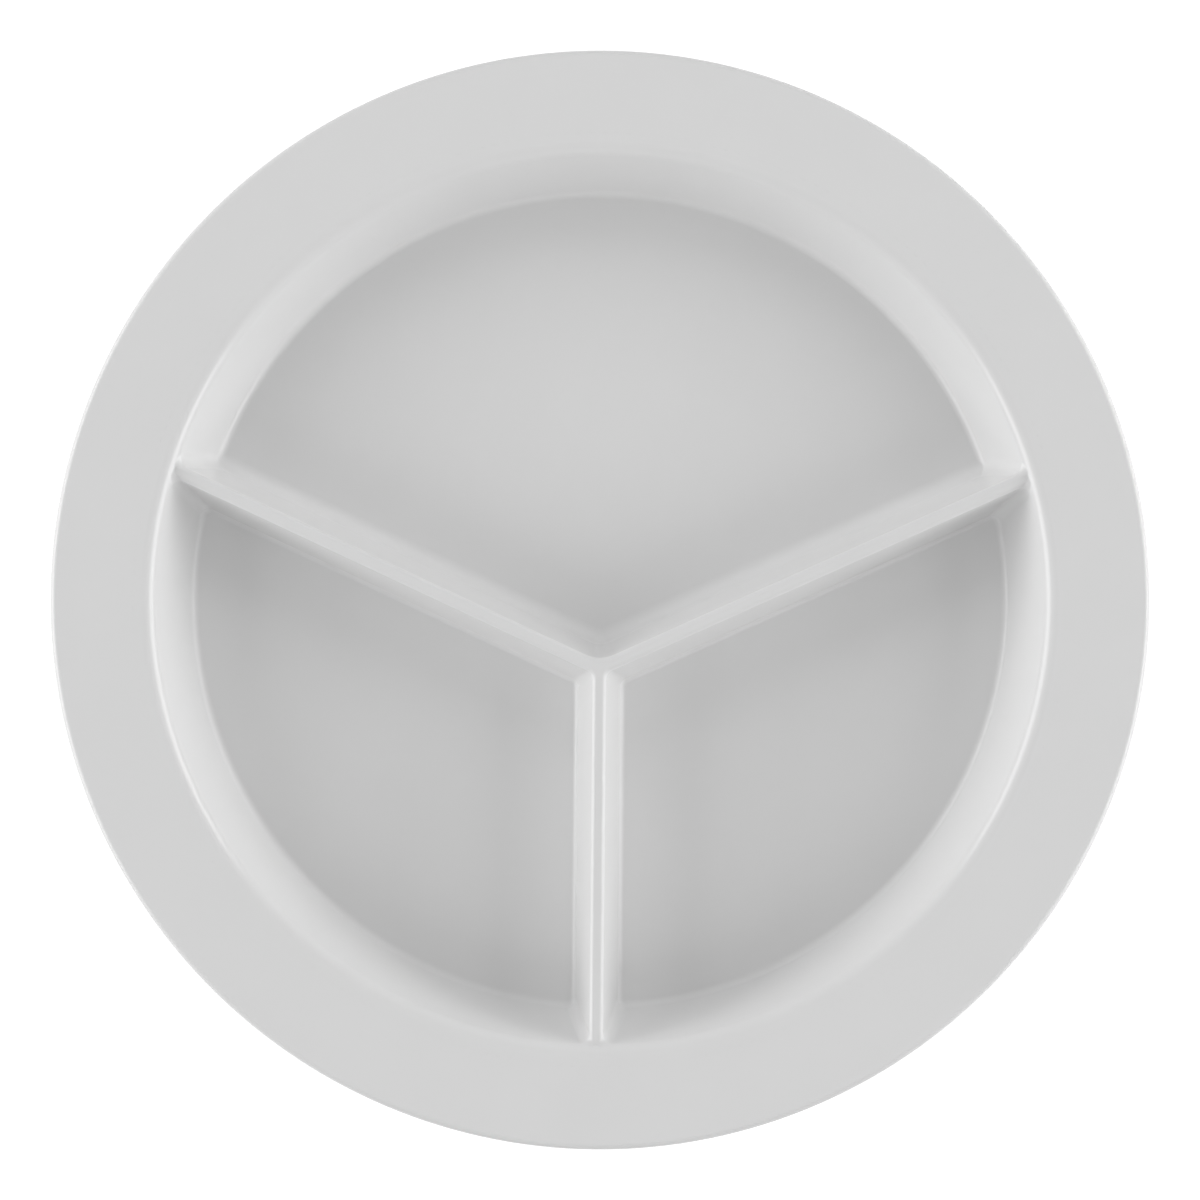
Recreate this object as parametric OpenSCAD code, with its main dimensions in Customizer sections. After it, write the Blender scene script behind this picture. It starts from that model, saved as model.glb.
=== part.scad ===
// Round plate with three compartments, moulded in one piece.
// Each module is one feature of the moulding, and neighbours meet face to face.
// The origin is on the table under the plate's centre, +Z is up, and the front divider
// points to -Y.

/* [Plate] */
// Outside diameter of the plate
plate_d = 260; // [235:1:300]
// Height from the table to the top of the rim's edge
plate_h = 24; // [20:0.5:32]
// Thickness of the moulded shell
shell_t = 3.2; // [2.6:0.1:4]

/* [Rim] */
// Width of the rim, from the outer edge to the mouth of the well
rim_w = 23.8; // [16:0.1:32]
// Climb of the rim towards its outer edge, in degrees
rim_slope = 3.5; // [0:0.5:8]
// Rounding of the rim's outer edge
edge_r = 1.4; // [0.6:0.1:1.4]
// Rounding of the lip between the rim and the well wall
lip_r = 4.2; // [1:0.1:5]
// Fillet under the rim, where it meets the outside of the wall
under_r = 3; // [1:0.1:5]

/* [Well] */
// Lean of the wall from upright, in degrees
wall_draft = 24.4; // [10:0.1:28]
// Fillet between the wall and the floor
floor_fillet_r = 2.2; // [0.8:0.1:4]

/* [Dividers] */
// Distance of the dividers' meeting point in front of the plate's centre
hub_offset = 16.3; // [8:0.1:26]
// Angle of the two rear dividers above the left to right line, in degrees
rear_angle = 24.6; // [18:0.1:32]
// Depth of the dividers' ridge below the mouth of the well
ridge_drop = 1.5; // [1:0.1:5]
// Width of the ridge between its edges, before they are rounded
ridge_w = 2.9; // [2.8:0.1:5]
// Rounding of the ridge's edges
ridge_edge_r = 1.2; // [0.4:0.1:1.4]
// Lean of the dividers' flanks from upright, in degrees
divider_draft = 13.5; // [7:0.5:16]
// Fillet between the rear dividers and the main floor
main_fillet_r = 4.2; // [2:0.1:5]
// Fillet between the dividers and the side floors
side_fillet_r = 1.4; // [0.8:0.1:2]
// Radius of the main compartment's inner corner, at the ridge
main_corner_r = 8.4; // [7.5:0.1:12]

/* [Underside] */
// Height of the foot ring below the floor
foot_h = 2; // [1:0.1:4]
// Width of the foot ring's standing face, before its edges are rounded
foot_w = 4; // [2.5:0.1:7]
// Distance of the foot ring inside the edge of the flat underside
foot_inset = 9; // [5:0.5:20]
// Rounding of the foot ring's standing edges
foot_edge_r = 0.8; // [0.2:0.1:1]
// Lean of the foot ring's sides from upright, in degrees
foot_draft = 12; // [2:1:20]
// Thickness of a divider's flanks beside the hollow under it
flank_t = 2.8; // [2.2:0.1:3.2]
// Width of the top of the hollow under each divider
hollow_top_w = 1.6; // [0.8:0.1:2]
// Distance of the hollow's outer end inside the foot ring
hollow_end_gap = 3; // [1:0.5:12]

/* [Hidden] */
$fn = 128;
// Steps in each rounded corner of a section
corner_steps = 8;
// Room left between the end of a fillet and the seam to the next feature
seam_room = 0.6;
// Largest share of a wall that the rounding of one of its edges may take
rounding_share = 0.45;
// Overrun of a cutting shape past what it cuts
overrun = 1;
// Length at which a wedge is sure to have left the plate
far = 2 * plate_d;
melamine = "gainsboro";

function aim(angle) = [cos(angle), sin(angle)];
function unit(v) = v / norm(v);

// Rim and the mouth of the well
edge_round = min(edge_r, rounding_share * shell_t);
mouth_r = plate_d / 2 - rim_w;
rim_to_edge = (plate_d / 2 - edge_round - mouth_r - (shell_t - edge_round) * sin(rim_slope)) / cos(rim_slope);
rim_run = rim_to_edge + edge_round;
mouth_z = plate_h - edge_round - rim_to_edge * sin(rim_slope) + edge_round * cos(rim_slope);

// Point on the rim, at a distance along its slope from the mouth and a depth below its top face
function on_rim(along, depth) = [mouth_r, mouth_z] + along * aim(rim_slope) + depth * aim(rim_slope - 90);

// Wall of the well, by its corners before they are rounded
floor_z = foot_h + shell_t;
wall_foot_r = mouth_r - (mouth_z - floor_z) * tan(wall_draft);
heel_corner_r = wall_foot_r + shell_t / cos(wall_draft) - shell_t * tan(wall_draft);
heel_r = floor_fillet_r + shell_t;
lip_turn = 90 - wall_draft - rim_slope;
under_along = shell_t * tan(lip_turn / 2);

// Seams of the wall to the rim and to the floors, clear of the fillets at both ends of the wall
rim_seam = max(lip_r * tan(lip_turn / 2), under_along + under_r * tan(lip_turn / 2)) + seam_room;
wall_turn = 90 - wall_draft;
floor_r = min(
  wall_foot_r - floor_fillet_r * tan(wall_turn / 2),
  heel_corner_r - heel_r * tan(wall_turn / 2)
) - seam_room;

// Dividers, by their half widths at the ridge and at the floor
ridge_z = mouth_z - ridge_drop;
ridge_half = ridge_w / 2;
ridge_round = min(ridge_edge_r, rounding_share * ridge_w);
flank_foot = ridge_half + (ridge_z - floor_z) * tan(divider_draft);
flank_turn = 90 - divider_draft;
main_foot = flank_foot + main_fillet_r * tan(flank_turn / 2) + seam_room;
side_foot = flank_foot + side_fillet_r * tan(flank_turn / 2) + seam_room;

// Directions of the dividers from the hub, and half the angle of each compartment there
right_angle = rear_angle;
left_angle = 180 - rear_angle;
front_angle = 270;
main_half_angle = 90 - rear_angle;
side_half_angle = (90 + rear_angle) / 2;

// Distance from the hub to the start of each divider, clear of every inner corner's fillet
hub = [0, -hub_offset];
hub_reach = max(
  (ridge_half + main_corner_r) / tan(main_half_angle),
  main_foot / tan(main_half_angle),
  side_foot / tan(side_half_angle)
);

// Distance from a divider's middle to the seam to the floor, and each floor's corner at the hub.
// The main compartment's inner corner is rounded around its floor's corner.
main_band = hub_reach * tan(main_half_angle);
side_band = hub_reach * tan(side_half_angle);
main_axis = hub + hub_reach / cos(main_half_angle) * aim(90);
right_corner = hub + hub_reach / cos(side_half_angle) * aim(right_angle - side_half_angle);
left_corner = hub + hub_reach / cos(side_half_angle) * aim(left_angle + side_half_angle);

// Foot ring, and the hollows under the dividers inside it
foot_round = min(foot_edge_r, rounding_share * foot_w, rounding_share * foot_h);
foot_out_r = floor_r - foot_inset;
foot_in_r = foot_out_r - foot_w;
foot_flare = foot_h * tan(foot_draft);
hollow_end_r = foot_in_r - foot_flare - hollow_end_gap;
hollow_half = flank_foot + shell_t * tan(divider_draft) - flank_t / cos(divider_draft);
hollow_top_half = hollow_top_w / 2;
hollow_top_z = foot_h + (hollow_half - hollow_top_half) / tan(divider_draft);

// Distance from the hub, in a direction, to a circle around the plate's centre
function reach(direction, radius) =
  let (along = hub * aim(direction))
  sqrt(along * along - hub * hub + radius * radius) - along;

// Outline through corners given as [x, y, radius], with an arc in each corner that has a radius
function rounded(corners) = [
  for (i = [0 : len(corners) - 1])
    let (
      count = len(corners),
      at = flat(corners[i]),
      r = corners[i].z,
      back = unit(flat(corners[(i + count - 1) % count]) - at),
      on = unit(flat(corners[(i + 1) % count]) - at),
      half = acos(back * on) / 2,
      start = at + r / tan(half) * back,
      end = at + r / tan(half) * on
    )
    each r == 0 ? [at] : arc(at + r / sin(half) * unit(back + on), start, end)
];

function flat(corner) = [corner.x, corner.y];

// Arc around a centre from one point to another, by the short way
function arc(centre, from, to) =
  let (
    r = norm(from - centre),
    start = atan2(from.y - centre.y, from.x - centre.x),
    turn = atan2(to.y - centre.y, to.x - centre.x) - start,
    sweep = turn > 180 ? turn - 360 : turn < -180 ? turn + 360 : turn
  )
  [for (i = [0 : corner_steps]) centre + r * aim(start + sweep * i / corner_steps)];

// Corners of one flank of a divider, from the floor up
function flank(fillet_r) = [[flank_foot, floor_z, fillet_r], [ridge_half, ridge_z, ridge_round]];

// Section of a divider with its strip of floor, by the fillet and the seam on each side
function divider_section(left_fillet_r, left_band, right_fillet_r, right_band) = rounded(concat(
  [[-right_band, foot_h, 0], [left_band, foot_h, 0], [left_band, floor_z, 0]],
  flank(left_fillet_r),
  [for (i = [1, 0]) let (p = flank(right_fillet_r)[i]) [-p.x, p.y, p.z]],
  [[-right_band, floor_z, 0]]
));

// Section of the space beside a divider, from its middle out to the seam to the floor
function space_section(fillet_r, band) = rounded(concat(
  [[band, floor_z, 0]],
  flank(fillet_r),
  [[0, ridge_z, 0], [0, ridge_z + overrun, 0], [band, ridge_z + overrun, 0]]
));

// Section of the hollow under a divider
hollow_mouth = hollow_half + overrun * tan(divider_draft);
hollow_section = rounded([
  [-hollow_mouth, foot_h - overrun, 0],
  [hollow_mouth, foot_h - overrun, 0],
  [hollow_top_half, hollow_top_z, hollow_top_half],
  [-hollow_top_half, hollow_top_z, hollow_top_half]
]);

// Inner face of the wall, from the rim's seam down to the floor's seam
rim_seam_top = on_rim(rim_seam, 0);
rim_seam_under = on_rim(rim_seam, shell_t);
wall_face = [
  [rim_seam_top.x, rim_seam_top.y, 0],
  [mouth_r, mouth_z, lip_r],
  [wall_foot_r, floor_z, floor_fillet_r],
  [floor_r, floor_z, 0]
];

// Bar of a section, drawn from the hub in a direction, between two distances
module bar(section, direction, start, end) {
  translate([hub.x, hub.y, 0])
    rotate([0, 0, direction])
      translate([start, 0, 0])
        rotate([90, 0, 90])
          linear_extrude(height = end - start)
            polygon(section);
}

module hollow(direction) {
  bar(hollow_section, direction, 0, reach(direction, hollow_end_r));
}

// Space that the wall encloses, down to the underside of the floor
module well_space() {
  rotate_extrude()
    polygon(rounded(concat(
      [[0, plate_h + overrun, 0], [rim_seam_top.x, plate_h + overrun, 0]],
      wall_face,
      [[floor_r, foot_h, 0], [0, foot_h, 0]]
    )));
}

// Divider from the hub to the inner face of the wall, hollow underneath
module divider(direction, section) {
  difference() {
    intersection() {
      bar(section, direction, hub_reach, reach(direction, plate_d / 2));
      well_space();
    }
    hollow(direction);
  }
}

// Panel of floor between two dividers, outwards from its corner at the hub
module floor_panel(corner, from, to) {
  translate([0, 0, foot_h])
    linear_extrude(height = shell_t)
      intersection() {
        circle(r = floor_r);
        translate(corner)
          polygon([[0, 0], far * aim(from), far * (aim(from) + aim(to)), far * aim(to)]);
      }
}

// Space that leaves the main compartment's inner corner rounded
module main_corner() {
  translate([main_axis.x, main_axis.y, 0])
    rotate_extrude()
      polygon([for (p = space_section(main_fillet_r, main_band)) [main_band - p.x, p.y]]);
}

// Space that leaves a side compartment's inner corner sharp, between the divider that it is to
// the left of and the one that it is to the right of
module side_corner(left_of, right_of) {
  section = space_section(side_fillet_r, side_band);
  intersection() {
    bar(section, left_of, 0, hub_reach + overrun);
    bar([for (p = section) [-p.x, p.y]], right_of, 0, hub_reach + overrun);
  }
}

module rim() {
  edge_top = on_rim(rim_run, 0);
  edge_under = on_rim(rim_run, shell_t);
  color(melamine)
    rotate_extrude()
      polygon(rounded([
        [rim_seam_under.x, rim_seam_under.y, 0],
        [edge_under.x, edge_under.y, edge_round],
        [edge_top.x, edge_top.y, edge_round],
        [rim_seam_top.x, rim_seam_top.y, 0]
      ]));
}

module well_wall() {
  under_corner = on_rim(under_along, shell_t);
  color(melamine)
    rotate_extrude()
      polygon(rounded(concat(
        [
          [floor_r, foot_h, 0],
          [heel_corner_r, foot_h, heel_r],
          [under_corner.x, under_corner.y, under_r],
          [rim_seam_under.x, rim_seam_under.y, 0]
        ],
        wall_face
      )));
}

module main_floor() {
  color(melamine)
    floor_panel(main_axis, right_angle, left_angle);
}

module left_floor() {
  color(melamine)
    floor_panel(left_corner, left_angle, front_angle);
}

module right_floor() {
  color(melamine)
    floor_panel(right_corner, front_angle, right_angle);
}

module left_divider() {
  color(melamine)
    divider(left_angle, divider_section(side_fillet_r, side_band, main_fillet_r, main_band));
}

module right_divider() {
  color(melamine)
    divider(right_angle, divider_section(main_fillet_r, main_band, side_fillet_r, side_band));
}

module front_divider() {
  color(melamine)
    divider(front_angle, divider_section(side_fillet_r, side_band, side_fillet_r, side_band));
}

module divider_hub() {
  color(melamine)
    difference() {
      translate([0, 0, foot_h])
        linear_extrude(height = ridge_z - foot_h)
          polygon([main_axis, left_corner, right_corner]);
      main_corner();
      side_corner(left_angle, front_angle);
      side_corner(front_angle, right_angle);
      for (direction = [left_angle, right_angle, front_angle])
        hollow(direction);
    }
}

module foot_ring() {
  color(melamine)
    rotate_extrude()
      polygon(rounded([
        [foot_in_r, 0, foot_round],
        [foot_out_r, 0, foot_round],
        [foot_out_r + foot_flare, foot_h, 0],
        [foot_in_r - foot_flare, foot_h, 0]
      ]));
}

rim();
well_wall();
main_floor();
left_floor();
right_floor();
left_divider();
right_divider();
front_divider();
divider_hub();
foot_ring();
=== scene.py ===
"""Round plate with three compartments, moulded in melamine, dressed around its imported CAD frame."""

import math
from types import SimpleNamespace

import bmesh
import bpy
from bpy.props import FloatProperty, FloatVectorProperty, PointerProperty
from bpy.types import NodeSocket, Operator, Panel, PropertyGroup
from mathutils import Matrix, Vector


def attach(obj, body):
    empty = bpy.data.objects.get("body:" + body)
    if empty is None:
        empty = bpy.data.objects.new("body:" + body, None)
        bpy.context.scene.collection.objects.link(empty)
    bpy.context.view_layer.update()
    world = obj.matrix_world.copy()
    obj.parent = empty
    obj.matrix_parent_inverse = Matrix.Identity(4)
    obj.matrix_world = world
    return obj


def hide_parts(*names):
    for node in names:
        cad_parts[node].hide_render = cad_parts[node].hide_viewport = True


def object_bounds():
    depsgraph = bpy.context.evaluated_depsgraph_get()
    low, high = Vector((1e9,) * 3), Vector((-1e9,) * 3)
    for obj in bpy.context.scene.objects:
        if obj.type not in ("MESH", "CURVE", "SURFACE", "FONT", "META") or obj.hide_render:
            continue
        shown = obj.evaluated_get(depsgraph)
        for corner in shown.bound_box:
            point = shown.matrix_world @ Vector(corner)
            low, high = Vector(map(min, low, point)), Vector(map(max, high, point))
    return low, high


bl_info = {
    "name": "Divided Compartment Plate",
    "version": (1, 0, 0),
    "blender": (4, 5, 0),
    "location": "View3D > Sidebar > Plate",
    "description": "Moulded melamine plate with three compartments, on a plain studio stage",
    "category": "Add Mesh",
}

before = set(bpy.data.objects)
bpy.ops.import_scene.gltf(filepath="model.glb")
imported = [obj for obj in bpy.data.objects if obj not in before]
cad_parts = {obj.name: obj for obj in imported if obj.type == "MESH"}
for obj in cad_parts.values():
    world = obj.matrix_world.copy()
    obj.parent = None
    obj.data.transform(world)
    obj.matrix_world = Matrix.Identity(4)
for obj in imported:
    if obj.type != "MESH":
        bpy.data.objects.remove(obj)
CAD_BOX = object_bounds()
BODY = "root"
MM = 0.001

# How finely the moulding is meshed
ARC_STEPS = 10
FACE_STEPS = 6
CORNER_STEPS = 12
FLANK_STEPS = 4
RIDGE_STEPS = 6
HOLLOW_STEPS = 16
ROUND_STEPS = 240
MERGE_DISTANCE = 0.001 * MM
SHARP_ANGLE = math.radians(35)

# Refraction of the resin, and how many finer layers its clouds, rubbed patches and ripple have
RESIN_IOR = 1.55
CLOUD_DETAIL = 3
RUB_DETAIL = 4
RIPPLE_DETAIL = 1

# Half the floor's width in metres, and the strength at which the surroundings are seen as white
FLOOR_HALF = 4
WHITE_STRENGTH = 1.0


def linear(hex_colour):
    """Linear colour of an sRGB hex value, with full opacity."""
    shares = [int(hex_colour[i:i + 2], 16) / 255 for i in (1, 3, 5)]
    return [s / 12.92 if s <= 0.04045 else ((s + 0.055) / 1.055) ** 2.4 for s in shares] + [1.0]


def length(name, description, millimetres):
    """A length that the user can change, given in millimetres."""
    return FloatProperty(
        name=name, description=description, default=millimetres * MM, min=0, precision=4,
        subtype="DISTANCE", unit="LENGTH",
    )


def angle(name, description, degrees):
    """An angle that the user can change, given in degrees."""
    return FloatProperty(
        name=name, description=description, default=math.radians(degrees), subtype="ANGLE", unit="ROTATION",
    )


def colour(name, description, hex_colour):
    """A colour that the user can change, given as an sRGB hex value."""
    return FloatVectorProperty(
        name=name, description=description, default=linear(hex_colour), size=4, min=0, max=1, subtype="COLOR",
    )


def share(name, description, value):
    """A share between nothing and all that the user can change."""
    return FloatProperty(name=name, description=description, default=value, min=0, max=1, subtype="FACTOR")


def power(name, description, watts):
    """A lamp's power that the user can change, given in watts."""
    return FloatProperty(name=name, description=description, default=watts, min=0, unit="POWER")


class PlateSizes(PropertyGroup):
    """Sizes of the rim and the well."""

    plate_d: length("Plate diameter", "Outside diameter of the plate", 2 * CAD_BOX[1].x / MM)
    plate_h: length("Plate height", "Height from the table to the top of the rim's edge", CAD_BOX[1].z / MM)
    shell_t: length("Shell", "Thickness of the moulded shell", 3.2)
    rim_w: length("Rim width", "Width of the rim, from the outer edge to the mouth of the well", 23.8)
    rim_slope: angle("Rim slope", "Climb of the rim towards its outer edge", 3.5)
    edge_r: length("Edge rounding", "Rounding of the rim's outer edge", 1.4)
    lip_r: length("Lip rounding", "Rounding between the rim and the well wall", 4.2)
    under_r: length("Under fillet", "Fillet under the rim, where it meets the outside of the wall", 3)
    wall_draft: angle("Wall lean", "Lean of the well wall from upright", 24.4)
    floor_fillet_r: length("Floor fillet", "Fillet between the wall and the floor", 2.2)
    seam_room: length("Seam room", "Room between the end of a fillet and the seam to the next feature", 0.6)


class DividerSizes(PropertyGroup):
    """Sizes of the three dividers."""

    hub_offset: length("Hub offset", "Distance of the dividers' meeting point in front of the centre", 16.3)
    rear_angle: angle("Rear angle", "Angle of the two rear dividers above the left to right line", 24.6)
    ridge_drop: length("Ridge drop", "Depth of the ridge below the mouth of the well", 1.5)
    ridge_w: length("Ridge width", "Width of the ridge between its edges, before they are rounded", 2.9)
    ridge_edge_r: length("Ridge rounding", "Rounding of the ridge's edges", 1.2)
    draft: angle("Flank lean", "Lean of the flanks from upright", 13.5)
    main_fillet_r: length("Main fillet", "Fillet between the rear dividers and the main floor", 4.2)
    side_fillet_r: length("Side fillet", "Fillet between the dividers and the side floors", 1.4)
    main_corner_r: length("Main corner", "Radius of the main compartment's inner corner, at the ridge", 8.4)
    side_corner_r: length("Side corner", "Largest radius of a side compartment's inner corner", 2.5)
    main_end_r: length("Main end corner", "Radius of the main compartment's corners at the wall", 3.4)
    side_end_r: length("Side end corner", "Radius of the side compartments' corners at the wall", 2.4)
    end_tip_r: length("End corner tip", "Radius of those corners at the ridge and at the floor", 0.6)
    end_rise: length("End rise", "Climb of the ridge where it runs out into the lip", 0.3)


class UndersideSizes(PropertyGroup):
    """Sizes of the foot ring and of the hollows under the dividers."""

    foot_h: length("Foot height", "Height of the foot ring below the floor", 2)
    foot_w: length("Foot width", "Width of the standing face, before its edges are rounded", 4)
    foot_inset: length("Foot inset", "Distance of the foot ring inside the edge of the flat underside", 9)
    foot_edge_r: length("Foot rounding", "Rounding of the standing edges", 0.8)
    foot_draft: angle("Foot lean", "Lean of the foot ring's sides from upright", 12)
    flank_t: length("Flank thickness", "Thickness of a divider's flanks beside its hollow", 2.8)
    hollow_top_w: length("Hollow top", "Width of the top of the hollow under a divider", 1.6)
    hollow_end_gap: length("Hollow end gap", "Distance of the hollow's end inside the foot ring", 3)
    hollow_mouth_r: length("Hollow mouth", "Rounding of the hollow's lower edge", 0.6)


class MelamineLook(PropertyGroup):
    """Colour and gloss of the moulded melamine."""

    body: colour("Melamine", "Colour of the moulding", "#DCDCDC")
    cloud: colour("Cloud", "Colour of the faint clouds in the moulding", "#D9D9D9")
    cloud_size: length("Cloud size", "Size of the faint clouds", 18)
    roughness: share("Roughness", "Roughness of the polished surface", 0.16)
    rub_roughness: share("Rubbed roughness", "Roughness where use has dulled the polish", 0.22)
    rub_size: length("Rub size", "Size of the duller patches", 7)
    ripple_size: length("Ripple size", "Size of the mould's faint ripple", 2.5)
    ripple_height: length("Ripple height", "Height of the mould's faint ripple", 0.004)


class StageLook(PropertyGroup):
    """Camera, lamps and floor."""

    camera_distance: length("Camera distance", "Distance of the camera above the rim", 800)
    frame_width: length("Frame width", "Width that the picture covers at the rim", 283.4)
    camera_roll: angle("Camera roll", "Turn of the camera around its own line of sight", 0.5)
    side_out: length("Side lamp distance", "Distance of the side lamps and fills from the middle", 1020)
    side_w: length("Side lamp width", "Width of the side lamps and fills", 1350)
    side_up: length("Side lamp place", "Height of each side lamp's middle above the table", 412)
    side_h: length("Side lamp height", "Height of each side lamp from its lower to its upper edge", 560)
    side_power: power("Side lamp power", "Power of each side lamp", 5.5)
    fill_up: length("Fill place", "Height of each side fill's middle above the table", 190)
    fill_h: length("Fill height", "Height of each side fill from its lower to its upper edge", 350)
    fill_power: power("Fill power", "Power of each side fill", 5.0)
    end_out: length("End lamp distance", "Distance of the back and front lamps from the plate's middle", 960)
    end_up: length("End lamp place", "Height of the back and front lamps above the table", 530)
    end_w: length("End lamp width", "Width of the back and front lamps", 500)
    back_power: power("Back lamp power", "Power of the lamp behind the plate", 2.4)
    front_power: power("Front lamp power", "Power of the lamp in front of the plate", 1.8)
    ambient: share("Ambient", "Strength of the plain light from all round", 0.347)
    floor_colour: colour("Floor", "Colour of the floor under the plate", "#8C8C8C")
    floor_glow: share("Floor glow", "White that the camera sees on the floor besides its lit colour", 0.9)


def aim(turn):
    """Unit vector in plan at an angle from +X."""
    return Vector((math.cos(turn), math.sin(turn)))


def eased(part):
    """A share that leaves nothing and reaches all gently."""
    return part * part * (3 - 2 * part)


def arc(centre, start, end, steps=ARC_STEPS):
    """Points of the short arc around a centre from one point to another."""
    spoke = start - centre
    sweep = math.atan2(spoke.cross(end - centre), spoke.dot(end - centre))
    first = math.atan2(spoke.y, spoke.x)
    return [centre + spoke.length * aim(first + sweep * i / steps) for i in range(steps + 1)]


def corner_arc(before, corner, after, radius):
    """Centre, start and end of the arc that rounds a corner of an outline."""
    back = (before - corner).normalized()
    on = (after - corner).normalized()
    half = back.angle(on) / 2
    centre = corner + (back + on).normalized() * radius / math.sin(half)
    reach = radius / math.tan(half)
    return centre, corner + back * reach, corner + on * reach


def round_corner(before, corner, after, radius):
    """Points of the arc that rounds a corner of an outline."""
    return arc(*corner_arc(before, corner, after, radius))


def outline(*corners):
    """Closed outline through (corner, radius) pairs, with an arc in each corner that has a radius."""
    points = []
    for i, (corner, radius) in enumerate(corners):
        before = corners[i - 1][0]
        after = corners[(i + 1) % len(corners)][0]
        points += round_corner(before, corner, after, radius) if radius else [corner]
    return points


def slope_levels(before, top, foot, after, top_r, foot_r):
    """Levels down a leaning face: its rounded top edge, the face, its fillet and its strip of floor."""
    edge = round_corner(before, top, foot, top_r)
    fillet = round_corner(top, foot, after, foot_r)
    face = [edge[-1].lerp(fillet[0], i / FACE_STEPS) for i in range(1, FACE_STEPS)]
    return edge + face + fillet + [after]


def wall_point(form, height):
    """Point of the wall's inner face, on the lip or on the straight face below it."""
    top, foot = form.lip_end, form.wall_foot[0]
    if height > top.y:
        depth = height - form.lip_centre.y
        return Vector((form.lip_centre.x - math.sqrt(form.lip_r ** 2 - depth ** 2), height))
    return top.lerp(foot, (top.y - height) / (top.y - foot.y))


def wall_levels(form, flank):
    """Levels down the wall from the height of the ridge's end, spaced as a flank's levels are."""
    upper = len(flank) - len(form.wall_foot)
    top_z, foot_z = flank[0].y, flank[upper].y
    shares = [(top_z - p.y) / (top_z - foot_z) for p in flank[:upper]]
    fall = form.brim.y - foot_z
    return [wall_point(form, form.brim.y - fall * part) for part in shares] + form.wall_foot


def to_circle(point, direction, radius):
    """Distance from a point, in a direction, to a circle around the plate's centre."""
    along = point.dot(direction)
    return math.sqrt(along ** 2 - point.length_squared + radius ** 2) - along


def plate_form(scene):
    """The plate's outlines, worked out from its sizes. Outlines of the rim and wall are (radius, height),
    and those of a divider are (distance from its middle, height)."""
    plate, ribs, under = scene.plate_sizes, scene.divider_sizes, scene.underside_sizes
    form = SimpleNamespace(shell_t=plate.shell_t, foot_h=under.foot_h, floor_z=under.foot_h + plate.shell_t)
    add_rim_outline(form, plate)
    add_wall_outline(form, plate, ribs)
    add_divider_outlines(form, plate, ribs)
    add_underside_outlines(form, ribs, under)
    add_divider_ends(form, plate, ribs)
    return form


def add_rim_outline(form, plate):
    """The rim's section, and its seam to the wall clear of the lip and of the fillet under it."""
    mouth_r = plate.plate_d / 2 - plate.rim_w
    slope = plate.rim_slope
    edge_drop = (plate.shell_t - plate.edge_r) * math.sin(slope)
    to_edge = (plate.rim_w - plate.edge_r - edge_drop) / math.cos(slope)
    mouth_z = plate.plate_h - plate.edge_r - to_edge * math.sin(slope) + plate.edge_r * math.cos(slope)
    form.mouth = Vector((mouth_r, mouth_z))

    def on_rim(along, depth):
        return form.mouth + along * aim(slope) + depth * aim(slope - math.pi / 2)

    lip_turn = math.pi / 2 - plate.wall_draft - slope
    under_along = plate.shell_t * math.tan(lip_turn / 2)
    wider_r = max(plate.lip_r * math.tan(lip_turn / 2), under_along + plate.under_r * math.tan(lip_turn / 2))
    seam = wider_r + plate.seam_room
    form.seam_top = on_rim(seam, 0)
    form.seam_under = on_rim(seam, plate.shell_t)
    form.under_corner = on_rim(under_along, plate.shell_t)
    form.rim = outline(
        (form.seam_under, 0),
        (on_rim(to_edge + plate.edge_r, plate.shell_t), plate.edge_r),
        (on_rim(to_edge + plate.edge_r, 0), plate.edge_r),
        (form.seam_top, 0),
    )


def add_wall_outline(form, plate, ribs):
    """The wall's lip, its fillet to the floor, and its outline from the ridges' ends over the lip and the
    rim's seam to the heel."""
    lean = math.tan(plate.wall_draft)
    foot = Vector((form.mouth.x - (form.mouth.y - form.floor_z) * lean, form.floor_z))
    heel_r = plate.floor_fillet_r + plate.shell_t
    heel = Vector((foot.x + plate.shell_t / math.cos(plate.wall_draft) - plate.shell_t * lean, form.foot_h))
    half_turn = math.tan((math.pi / 2 - plate.wall_draft) / 2)
    fillet_end = min(foot.x - plate.floor_fillet_r * half_turn, heel.x - heel_r * half_turn)
    form.floor_r = fillet_end - plate.seam_room
    floor_end = Vector((form.floor_r, form.floor_z))
    form.lip_r = plate.lip_r
    form.lip_centre, lip_start, form.lip_end = corner_arc(form.seam_top, form.mouth, foot, plate.lip_r)
    form.wall_foot = round_corner(form.mouth, foot, floor_end, plate.floor_fillet_r) + [floor_end]
    form.ridge_z = form.mouth.y - ribs.ridge_drop
    form.brim = wall_point(form, max(form.ridge_z + ribs.end_rise, form.lip_end.y))
    lip = arc(form.lip_centre, form.brim, lip_start)
    under_end = Vector((form.floor_r, form.foot_h))
    form.wall_outside = [
        *lip[1:],
        form.seam_top,
        form.seam_under,
        *round_corner(form.seam_under, form.under_corner, heel, plate.under_r),
        *round_corner(form.under_corner, heel, under_end, heel_r),
    ]


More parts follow.
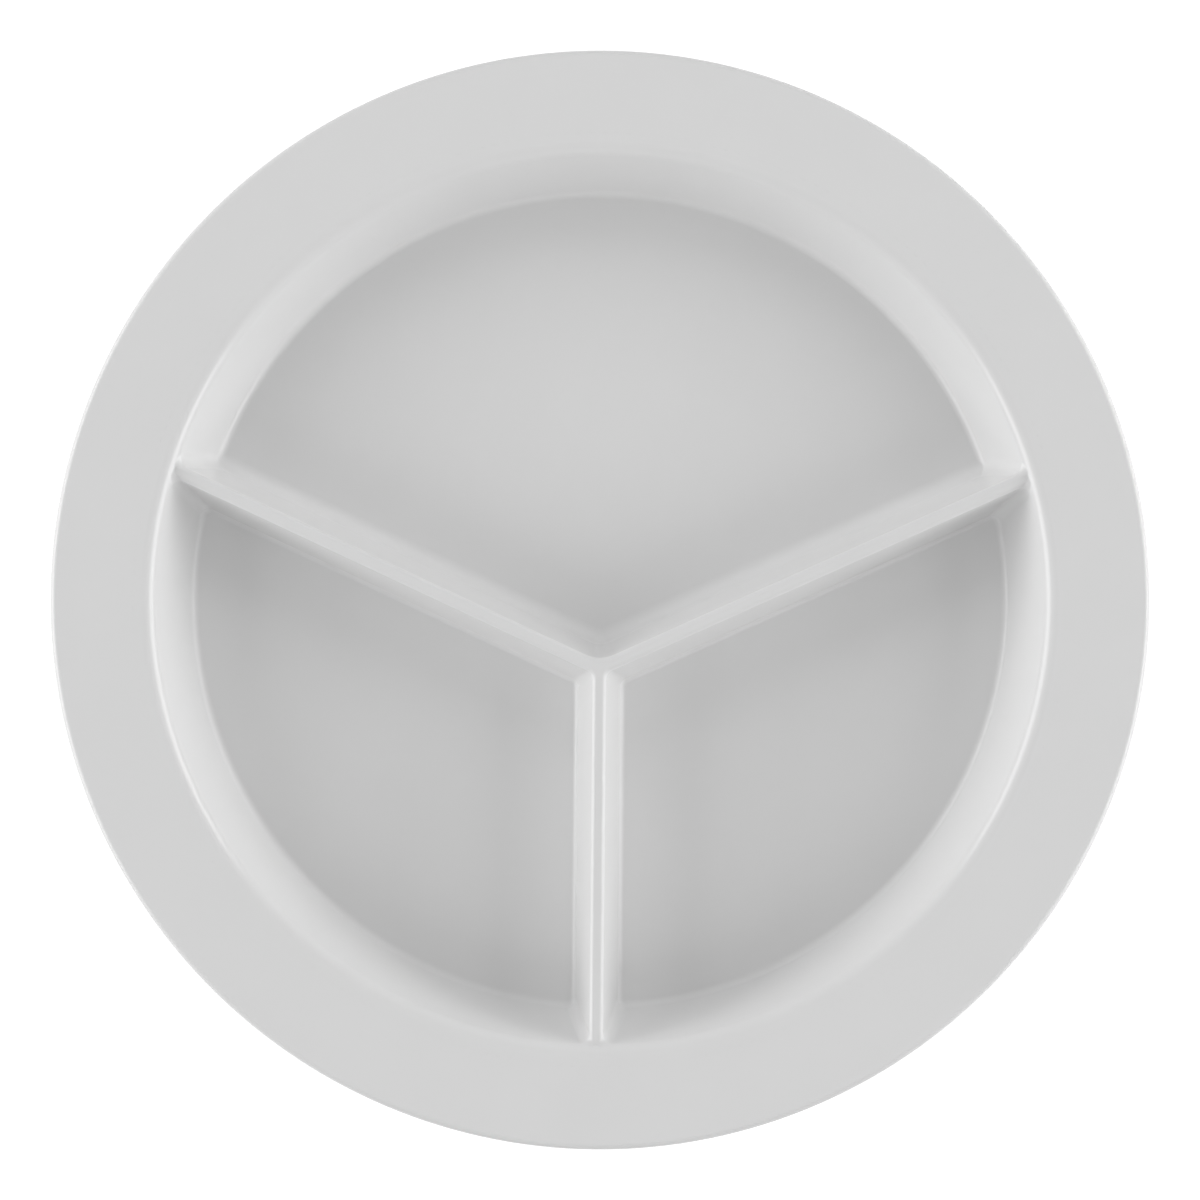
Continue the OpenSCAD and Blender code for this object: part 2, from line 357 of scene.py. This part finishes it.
def add_divider_outlines(form, plate, ribs):
    """The dividers' places, and the levels down the flank on each compartment's side."""
    form.hub = Vector((0, -ribs.hub_offset))
    half = ribs.ridge_w / 2
    form.flank_foot = half + (form.ridge_z - form.floor_z) * math.tan(ribs.draft)
    fillet_turn = math.tan((math.pi / 2 - ribs.draft) / 2)
    main_foot = form.flank_foot + ribs.main_fillet_r * fillet_turn + plate.seam_room
    side_foot = form.flank_foot + ribs.side_fillet_r * fillet_turn + plate.seam_room
    main_open = math.tan(math.pi / 2 - ribs.rear_angle)
    side_open = math.tan((math.pi / 2 + ribs.rear_angle) / 2)
    main_reach = max(half + ribs.main_corner_r, main_foot) / main_open
    form.hub_reach = max(main_reach, side_foot / side_open)

    def divider(name, turn):
        return SimpleNamespace(name=name, turn=turn, along=aim(turn), left=aim(turn + math.pi / 2))

    def compartment(name, start, end, fillet_r, opening, corner_r, end_r):
        band = form.hub_reach * opening
        levels = slope_levels(
            Vector((0, form.ridge_z)), Vector((half, form.ridge_z)),
            Vector((form.flank_foot, form.floor_z)), Vector((band, form.floor_z)),
            ribs.ridge_edge_r, fillet_r,
        )
        return SimpleNamespace(
            name=name, start=start, end=end, band=band, flank=levels, wall=wall_levels(form, levels),
            axis=form.hub + form.hub_reach * start.along + band * start.left,
            corner_r=corner_r, end_r=end_r,
        )

    right = divider("right", ribs.rear_angle)
    left = divider("left", math.pi - ribs.rear_angle)
    front = divider("front", 1.5 * math.pi)
    form.dividers = [right, left, front]
    large = dict(
        fillet_r=ribs.main_fillet_r, opening=main_open,
        corner_r=half + ribs.main_corner_r, end_r=ribs.main_end_r,
    )
    small = dict(
        fillet_r=ribs.side_fillet_r, opening=side_open,
        corner_r=ribs.side_corner_r, end_r=ribs.side_end_r,
    )
    form.compartments = [
        compartment("main", right, left, **large),
        compartment("left", left, front, **small),
        compartment("right", front, right, **small),
    ]
    for side in form.compartments:
        side.start.left_side = side
        side.end.right_side = side


def add_underside_outlines(form, ribs, under):
    """The foot ring's section, and half the section of the hollow under a divider."""
    out_r = form.floor_r - under.foot_inset
    in_r = out_r - under.foot_w
    flare = under.foot_h * math.tan(under.foot_draft)
    form.foot = outline(
        (Vector((in_r, 0)), under.foot_edge_r),
        (Vector((out_r, 0)), under.foot_edge_r),
        (Vector((out_r + flare, under.foot_h)), 0),
        (Vector((in_r - flare, under.foot_h)), 0),
    )
    form.hollow_end_r = in_r - flare - under.hollow_end_gap
    lean = math.tan(ribs.draft)
    form.hollow_half = form.flank_foot + form.shell_t * lean - under.flank_t / math.cos(ribs.draft)
    top_half = under.hollow_top_w / 2
    top = Vector((top_half, form.foot_h + (form.hollow_half - top_half) / lean))
    mouth = Vector((form.hollow_half, form.foot_h))
    middle = Vector((0, top.y))
    outside = Vector((form.flank_foot, form.foot_h))
    form.hollow = [
        *round_corner(outside, mouth, top, under.hollow_mouth_r),
        *round_corner(mouth, top, middle, top_half),
        middle,
    ]


def add_divider_ends(form, plate, ribs):
    """The upright corners at the wall, level by level, and where each divider is seamed to its end."""
    for compartment in form.compartments:
        growth = compartment.end_r - ribs.end_tip_r
        grow = [ribs.end_tip_r + growth * i / ARC_STEPS for i in range(ARC_STEPS + 1)]
        middle = [compartment.end_r] * (FACE_STEPS - 1)
        compartment.end_radii = grow + middle + grow[::-1] + [ribs.end_tip_r]
    for divider in form.dividers:
        starts = [
            corner_place(form, divider, hand, level)[0]
            for hand in (1, -1) for level in range(len(divider.left_side.flank))
        ]
        divider.seam = min(starts) - plate.seam_room


def corner_place(form, divider, hand, level):
    """Distance along a divider to its end's corner, left (1) or right (-1), and that corner's centre."""
    compartment = divider.left_side if hand > 0 else divider.right_side
    radius = compartment.end_radii[level]
    foot = form.hub + hand * (compartment.flank[level].x + radius) * divider.left
    along = to_circle(foot, divider.along, compartment.wall[level].x - radius)
    return along, foot + along * divider.along


def end_points(form, compartment, divider, hand, level):
    """One level of a divider's end: along the flank from the seam, then round the corner to the wall."""
    radius = compartment.end_radii[level]
    wall_r, wall_z = compartment.wall[level]
    flank_z = compartment.flank[level].y
    along, centre = corner_place(form, divider, hand, level)
    turn_in = centre - hand * radius * divider.left
    seam = turn_in + (divider.seam - along) * divider.along
    points = [Vector((*seam.lerp(turn_in, i / FLANK_STEPS), flank_z)) for i in range(FLANK_STEPS)]
    for i, plan in enumerate(arc(centre, turn_in, centre.normalized() * wall_r, CORNER_STEPS)):
        climb = (wall_z - flank_z) * eased(i / CORNER_STEPS)
        points.append(Vector((*plan, flank_z + climb)))
    return points


def level_points(form, compartment, level):
    """One level of a compartment's wall with the divider ends on both sides of it."""
    wall_r, wall_z = compartment.wall[level]
    start = end_points(form, compartment, compartment.start, 1, level)
    end = end_points(form, compartment, compartment.end, -1, level)
    first = math.atan2(start[-1].y, start[-1].x)
    sweep = (math.atan2(end[-1].y, end[-1].x) - first) % (2 * math.pi)
    opening = (compartment.end.turn - compartment.start.turn) % (2 * math.pi)
    steps = round(opening / (2 * math.pi) * ROUND_STEPS)
    wall = [Vector((*(wall_r * aim(first + sweep * i / steps)), wall_z)) for i in range(1, steps)]
    return start + wall + end[::-1]


def add_chain(bm, points):
    """A chain of edges through points."""
    chain = [bm.verts.new(p) for p in points]
    for pair in zip(chain, chain[1:]):
        bm.edges.new(pair)
    return chain


def draw_out(bm, chain, points):
    """Extrude a chain of edges to the next row of points, and give that row."""
    edges = [bm.edges.get(pair) for pair in zip(chain, chain[1:])]
    made = bmesh.ops.extrude_edge_only(bm, edges=edges)["geom"]
    fresh = {v for v in made if isinstance(v, bmesh.types.BMVert)}
    row = [next(e.other_vert(v) for e in v.link_edges if e.other_vert(v) in fresh) for v in chain]
    for vert, point in zip(row, points):
        vert.co = point
    return row


def draw_rows(bm, rows):
    """A sheet through rows of points, and its rows of vertices."""
    sheet = [add_chain(bm, rows[0])]
    for points in rows[1:]:
        sheet.append(draw_out(bm, sheet[-1], points))
    return sheet


def spun(section):
    """A ring, spun from its (radius, height) section around the plate's axis."""
    bm = bmesh.new()
    chain = add_chain(bm, [(p.x, 0, p.y) for p in section])
    bm.edges.new((chain[-1], chain[0]))
    bmesh.ops.spin(
        bm, geom=bm.verts[:] + bm.edges[:], cent=(0, 0, 0), axis=(0, 0, 1),
        angle=2 * math.pi, steps=ROUND_STEPS, use_merge=True,
    )
    return bm


def add_piece(name, node, bm):
    """The finished piece: closed, pointing outwards, smoothly shaded, and standing for its CAD node."""
    bmesh.ops.remove_doubles(bm, verts=bm.verts[:], dist=MERGE_DISTANCE)
    bmesh.ops.recalc_face_normals(bm, faces=bm.faces[:])
    mesh = bpy.data.meshes.new(name)
    bm.to_mesh(mesh)
    bm.free()
    mesh.shade_smooth()
    mesh.set_sharp_from_angle(angle=SHARP_ANGLE)
    mesh.materials.append(melamine(bpy.context.scene.melamine_look))
    piece = bpy.data.objects.new(name, mesh)
    bpy.context.collection.objects.link(piece)
    even = piece.modifiers.new("even_shading", "WEIGHTED_NORMAL")
    even.keep_sharp = True
    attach(piece, BODY)
    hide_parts(node)
    return piece


def add_node(tree, kind, sockets=None, **settings):
    """A shader node with its settings, and its sockets set or linked."""
    node = tree.nodes.new(kind)
    for name, value in settings.items():
        setattr(node, name, value)
    for name, value in (sockets or {}).items():
        if isinstance(value, NodeSocket):
            tree.links.new(value, node.inputs[name])
        else:
            node.inputs[name].default_value = value
    return node


def melamine(look):
    """Moulded melamine: a hard, dense resin from a polished mould. To the eye it is an even, slightly cloudy
    grey white with a porcelain-like gloss, soft highlights and a ripple that only shows in reflections."""
    name = "moulded_melamine"
    if name in bpy.data.materials:
        return bpy.data.materials[name]
    material = bpy.data.materials.new(name)
    material.use_nodes = True
    tree = material.node_tree
    tree.nodes.clear()
    place = add_node(tree, "ShaderNodeTexCoord").outputs["Object"]

    def noise(size, detail):
        sockets = {"Vector": place, "Scale": 1 / size, "Detail": detail}
        return add_node(tree, "ShaderNodeTexNoise", sockets).outputs["Fac"]

    tint = add_node(
        tree, "ShaderNodeMix",
        {"Factor": noise(look.cloud_size, CLOUD_DETAIL), 6: look.body, 7: look.cloud},
        data_type="RGBA",
    )
    polish = add_node(
        tree, "ShaderNodeMapRange",
        {
            "Value": noise(look.rub_size, RUB_DETAIL),
            "To Min": look.roughness,
            "To Max": look.rub_roughness,
        },
    )
    ripple = add_node(
        tree, "ShaderNodeBump",
        {"Height": noise(look.ripple_size, RIPPLE_DETAIL), "Distance": look.ripple_height},
    )
    shader = add_node(
        tree, "ShaderNodeBsdfPrincipled",
        {
            "Base Color": tint.outputs[2],
            "Roughness": polish.outputs["Result"],
            "Normal": ripple.outputs["Normal"],
            "IOR": RESIN_IOR,
        },
    )
    add_node(tree, "ShaderNodeOutputMaterial", {"Surface": shader.outputs["BSDF"]})
    return material


def seen_directly(tree):
    """One for light that is seen straight, in a reflection or through glass, and nothing for the rest."""
    path = add_node(tree, "ShaderNodeLightPath").outputs
    mirrored = add_node(
        tree, "ShaderNodeMath", {0: path["Is Camera Ray"], 1: path["Is Glossy Ray"]}, operation="MAXIMUM",
    )
    return add_node(
        tree, "ShaderNodeMath", {0: mirrored.outputs[0], 1: path["Is Transmission Ray"]}, operation="MAXIMUM",
    ).outputs[0]


class PLATE_OT_add_rim(Operator):
    """Add the flat rim with its rounded outer edge"""

    bl_idname = "plate.add_rim"
    bl_label = "Rim"

    def execute(self, context):
        add_piece("moulded_rim", "rim", spun(plate_form(context.scene).rim))
        return {"FINISHED"}


class PLATE_OT_add_wall(Operator):
    """Add the well wall, with the lip above it, the heel below it and the ends of the dividers"""

    bl_idname = "plate.add_wall"
    bl_label = "Well wall"

    def execute(self, context):
        form = plate_form(context.scene)
        bm = bmesh.new()
        for side in form.compartments:
            levels = [level_points(form, side, level) for level in range(len(side.wall))]
            under = [Vector((p.x, p.y, form.foot_h)) for p in levels[-1]]
            side.sheet = draw_rows(bm, levels + [under])
        for divider in form.dividers:
            self.close_end(bm, form, divider)
        self.draw_outside(bm, form)
        rim_edges = [e for e in bm.edges if e.is_boundary]
        bmesh.ops.triangle_fill(bm, use_beauty=True, edges=rim_edges, normal=(0, 0, -1))
        add_piece("moulded_well_wall", "well_wall", bm)
        return {"FINISHED"}

    def close_end(self, bm, form, divider):
        """Draw the ridge over a divider's end and close the end at its seam."""
        left = divider.left_side.sheet
        right = divider.right_side.sheet
        count = FLANK_STEPS + CORNER_STEPS + 1
        near = left[0][:count]
        far = right[0][:-count - 1:-1]
        chain = near
        ridge = [near[0]]
        for i in range(1, RIDGE_STEPS + 1):
            points = [self.ridge_point(a.co, b.co, i / RIDGE_STEPS) for a, b in zip(near, far)]
            chain = draw_out(bm, chain, points)
            ridge.append(chain[0])
        bmesh.ops.weld_verts(bm, targetmap=dict(zip(chain, far)))
        left_column = [row[0] for row in reversed(left)]
        right_column = [row[-1] for row in right]
        bm.faces.new(left_column + ridge[1:-1] + right_column)

    def ridge_point(self, left, right, part):
        """A point across the ridge, as far from the plate's centre as the points on its two edges."""
        point = left.lerp(right, part)
        radius = left.xy.length + (right.xy.length - left.xy.length) * part
        return Vector((*(point.xy.normalized() * radius), point.z))

    def draw_outside(self, bm, form):
        """Draw the rest of the wall: the lip, the seam to the rim, and the outside down to the heel."""
        brim = form.brim.x - MERGE_DISTANCE
        edges = [e for e in bm.edges if e.is_boundary and all(v.co.xy.length > brim for v in e.verts)]
        for radius, height in form.wall_outside:
            made = bmesh.ops.extrude_edge_only(bm, edges=edges)["geom"]
            fresh = {v for v in made if isinstance(v, bmesh.types.BMVert)}
            for vert in fresh:
                vert.co = (*(vert.co.xy.normalized() * radius), height)
            edges = [e for e in bm.edges if e.is_boundary and all(v in fresh for v in e.verts)]


class PLATE_OT_add_floors(Operator):
    """Add the floor of each compartment"""

    bl_idname = "plate.add_floors"
    bl_label = "Floors"

    def execute(self, context):
        form = plate_form(context.scene)
        for side in form.compartments:
            bm = bmesh.new()
            axis = Vector((*side.axis, form.floor_z))
            corners = [axis] + level_points(form, side, len(side.wall) - 1)
            top = bm.faces.new([bm.verts.new(p) for p in corners])
            made = bmesh.ops.extrude_face_region(bm, geom=[top], use_keep_orig=True)["geom"]
            fresh = [v for v in made if isinstance(v, bmesh.types.BMVert)]
            bmesh.ops.translate(bm, verts=fresh, vec=(0, 0, -form.shell_t))
            add_piece(f"moulded_{side.name}_floor", f"{side.name}_floor", bm)
        return {"FINISHED"}


class PLATE_OT_add_dividers(Operator):
    """Add the three dividers, hollow underneath, from the hub to their ends at the wall"""

    bl_idname = "plate.add_dividers"
    bl_label = "Dividers"

    def execute(self, context):
        form = plate_form(context.scene)
        for divider in form.dividers:
            bm = bmesh.new()
            self.draw_divider(bm, form, divider)
            add_piece(f"moulded_{divider.name}_divider", f"{divider.name}_divider", bm)
        return {"FINISHED"}

    def draw_divider(self, bm, form, divider):
        """Draw the flanks and the ridge, the hollow underneath, the two ends and the underside."""

        def place(along, across, height):
            return Vector((*(form.hub + along * divider.along + across * divider.left), height))

        left, right = divider.left_side, divider.right_side
        section = [(left.band, form.foot_h)]
        section += [tuple(p) for p in reversed(left.flank)]
        section += [(-p.x, p.y) for p in right.flank]
        section += [(-right.band, form.foot_h)]
        near, far = draw_rows(bm, [
            [place(along, *point) for point in section] for along in (form.hub_reach, divider.seam)
        ])
        bend = to_circle(form.hub, divider.along, form.hollow_end_r) - form.hollow_half
        turns = [math.pi * i / HOLLOW_STEPS for i in range(HOLLOW_STEPS + 1)]
        rows = [[place(form.hub_reach, p.x, p.y) for p in form.hollow]]
        rows += [
            [place(bend + p.x * math.sin(turn), p.x * math.cos(turn), p.y) for p in form.hollow]
            for turn in turns
        ]
        rows += [[place(form.hub_reach, -p.x, p.y) for p in form.hollow]]
        hollow = draw_rows(bm, rows)
        bm.faces.new(far)
        bm.faces.new(near + hollow[-1] + hollow[0][::-1])
        bm.faces.new([near[0], far[0], far[-1], near[-1]] + [row[0] for row in reversed(hollow)])


class PLATE_OT_add_hub(Operator):
    """Add the hub where the dividers meet, with the rounded inner corner of each compartment"""

    bl_idname = "plate.add_hub"
    bl_label = "Hub"

    def execute(self, context):
        form = plate_form(context.scene)
        bm = bmesh.new()
        sheets = [self.draw_corner(bm, form, side) for side in form.compartments]
        for sheet, following in zip(sheets, sheets[1:] + sheets[:1]):
            bm.faces.new(sheet[-1] + following[0][::-1])
        bm.faces.new([row[-1] for sheet in sheets for row in sheet])
        bm.faces.new([row[0] for sheet in sheets for row in sheet])
        add_piece("moulded_divider_hub", "divider_hub", bm)
        return {"FINISHED"}

    def draw_corner(self, bm, form, side):
        """Draw one inner corner: half a divider's section, carried round from one divider to the next."""
        half = [(p, side.band - p.x) for p in form.hollow[::-1]]
        half += [(Vector((side.band, form.foot_h)), 0)]
        half += [(p, min(side.corner_r, side.band - p.x)) for p in side.flank[::-1]]
        spread = (side.axis - form.hub) / side.band
        sweep = (side.end.turn - side.start.turn) % (2 * math.pi) - math.pi
        steps = CORNER_STEPS * 2

        def seam_row(divider, out):
            seam = form.hub + form.hub_reach * divider.along
            return [Vector((*(seam + p.x * out * divider.left), p.y)) for p, radius in half]

        rows = [seam_row(side.start, 1)]
        for i in range(steps + 1):
            inwards = aim(side.start.turn - math.pi / 2 + sweep * i / steps)
            rows.append([
                Vector((*(form.hub + (p.x + radius) * spread + radius * inwards), p.y)) for p, radius in half
            ])
        rows.append(seam_row(side.end, -1))
        return draw_rows(bm, rows)


class PLATE_OT_add_foot(Operator):
    """Add the foot ring that the plate stands on"""

    bl_idname = "plate.add_foot"
    bl_label = "Foot ring"

    def execute(self, context):
        add_piece("moulded_foot_ring", "foot_ring", spun(plate_form(context.scene).foot))
        return {"FINISHED"}


class PLATE_OT_add_stage(Operator):
    """Add the floor, the lamps, the plain light from all round and the camera"""

    bl_idname = "plate.add_stage"
    bl_label = "Stage"

    def execute(self, context):
        scene = context.scene
        look = scene.stage_look
        scene.view_settings.view_transform = "Standard"
        self.add_floor(scene, look)
        self.add_lamps(scene, look)
        self.add_surroundings(scene, look)
        self.add_camera(scene, look)
        return {"FINISHED"}

    def add_floor(self, scene, look):
        """A grey floor with a glow, which the camera sees as white apart from the plate's shadow."""
        bm = bmesh.new()
        bmesh.ops.create_grid(bm, x_segments=1, y_segments=1, size=FLOOR_HALF)
        mesh = bpy.data.meshes.new("floor")
        bm.to_mesh(mesh)
        bm.free()
        material = bpy.data.materials.new("pale_floor")
        material.use_nodes = True
        tree = material.node_tree
        tree.nodes.clear()
        lit = add_node(tree, "ShaderNodeBsdfDiffuse", {"Color": look.floor_colour})
        glow = add_node(
            tree, "ShaderNodeMath", {0: seen_directly(tree), 1: look.floor_glow}, operation="MULTIPLY",
        )
        white = add_node(tree, "ShaderNodeEmission", {"Strength": glow.outputs[0]})
        both = add_node(tree, "ShaderNodeAddShader", {0: lit.outputs[0], 1: white.outputs[0]})
        add_node(tree, "ShaderNodeOutputMaterial", {"Surface": both.outputs[0]})
        mesh.materials.append(material)
        floor = bpy.data.objects.new("floor", mesh)
        scene.collection.objects.link(floor)

    def add_lamps(self, scene, look):
        """Wide lamps on the left and on the right with a low fill under each, and weaker lamps behind and in
        front. Only the wide lamps show in highlights."""
        side = (look.side_w, look.side_h, True)
        fill = (look.side_w, look.fill_h, False)
        end = (look.end_w, look.end_w, False)
        for name, place, watts, (width, height, shines) in (
            ("left_lamp", (-look.side_out, 0, look.side_up), look.side_power, side),
            ("right_lamp", (look.side_out, 0, look.side_up), look.side_power, side),
            ("left_fill", (-look.side_out, 0, look.fill_up), look.fill_power, fill),
            ("right_fill", (look.side_out, 0, look.fill_up), look.fill_power, fill),
            ("back_lamp", (0, look.end_out, look.end_up), look.back_power, end),
            ("front_lamp", (0, -look.end_out, look.end_up), look.front_power, end),
        ):
            lamp = bpy.data.lights.new(name, "AREA")
            lamp.shape = "RECTANGLE"
            lamp.size = width
            lamp.size_y = height
            lamp.energy = watts
            holder = bpy.data.objects.new(name, lamp)
            holder.location = place
            holder.rotation_euler = (-holder.location).to_track_quat("-Z", "Y").to_euler()
            holder.visible_glossy = shines
            scene.collection.objects.link(holder)

    def add_surroundings(self, scene, look):
        """Plain light from all round, with white where it is seen directly."""
        world = bpy.data.worlds.new("surroundings")
        world.use_nodes = True
        tree = world.node_tree
        tree.nodes.clear()
        strength = add_node(
            tree, "ShaderNodeMapRange",
            {"Value": seen_directly(tree), "To Min": look.ambient, "To Max": WHITE_STRENGTH},
        )
        white = add_node(
            tree, "ShaderNodeBackground", {"Color": linear("#FFFFFF"), "Strength": strength.outputs[0]},
        )
        add_node(tree, "ShaderNodeOutputWorld", {"Surface": white.outputs[0]})
        scene.world = world

    def add_camera(self, scene, look):
        """A camera straight above the plate."""
        camera = bpy.data.cameras.new("camera")
        camera.lens = camera.sensor_width * look.camera_distance / look.frame_width
        holder = bpy.data.objects.new("camera", camera)
        holder.location = (0, 0, scene.plate_sizes.plate_h + look.camera_distance)
        holder.rotation_euler = (0, 0, look.camera_roll)
        scene.collection.objects.link(holder)
        scene.camera = holder


class VIEW3D_PT_plate(Panel):
    """Sidebar panel with the plate's pieces and their sizes"""

    bl_label = "Divided Plate"
    bl_space_type = "VIEW_3D"
    bl_region_type = "UI"
    bl_category = "Plate"

    def draw(self, context):
        layout = self.layout
        for operator in OPERATORS:
            layout.operator(operator.bl_idname)
        for name in GROUPS:
            group = getattr(context.scene, name)
            box = layout.box()
            for key in group.__annotations__:
                box.prop(group, key)


GROUPS = {
    "plate_sizes": PlateSizes,
    "divider_sizes": DividerSizes,
    "underside_sizes": UndersideSizes,
    "melamine_look": MelamineLook,
    "stage_look": StageLook,
}
OPERATORS = (
    PLATE_OT_add_rim,
    PLATE_OT_add_wall,
    PLATE_OT_add_floors,
    PLATE_OT_add_dividers,
    PLATE_OT_add_hub,
    PLATE_OT_add_foot,
    PLATE_OT_add_stage,
)


def register():
    for kind in (*GROUPS.values(), *OPERATORS, VIEW3D_PT_plate):
        bpy.utils.register_class(kind)
    for name, kind in GROUPS.items():
        setattr(bpy.types.Scene, name, PointerProperty(type=kind))


def unregister():
    for name in GROUPS:
        delattr(bpy.types.Scene, name)
    for kind in (VIEW3D_PT_plate, *reversed(OPERATORS), *GROUPS.values()):
        bpy.utils.unregister_class(kind)


def main():
    register()
    bpy.ops.plate.add_rim()
    bpy.ops.plate.add_wall()
    bpy.ops.plate.add_floors()
    bpy.ops.plate.add_dividers()
    bpy.ops.plate.add_hub()
    bpy.ops.plate.add_foot()
    bpy.ops.plate.add_stage()


if __name__ == "__main__":
    main()
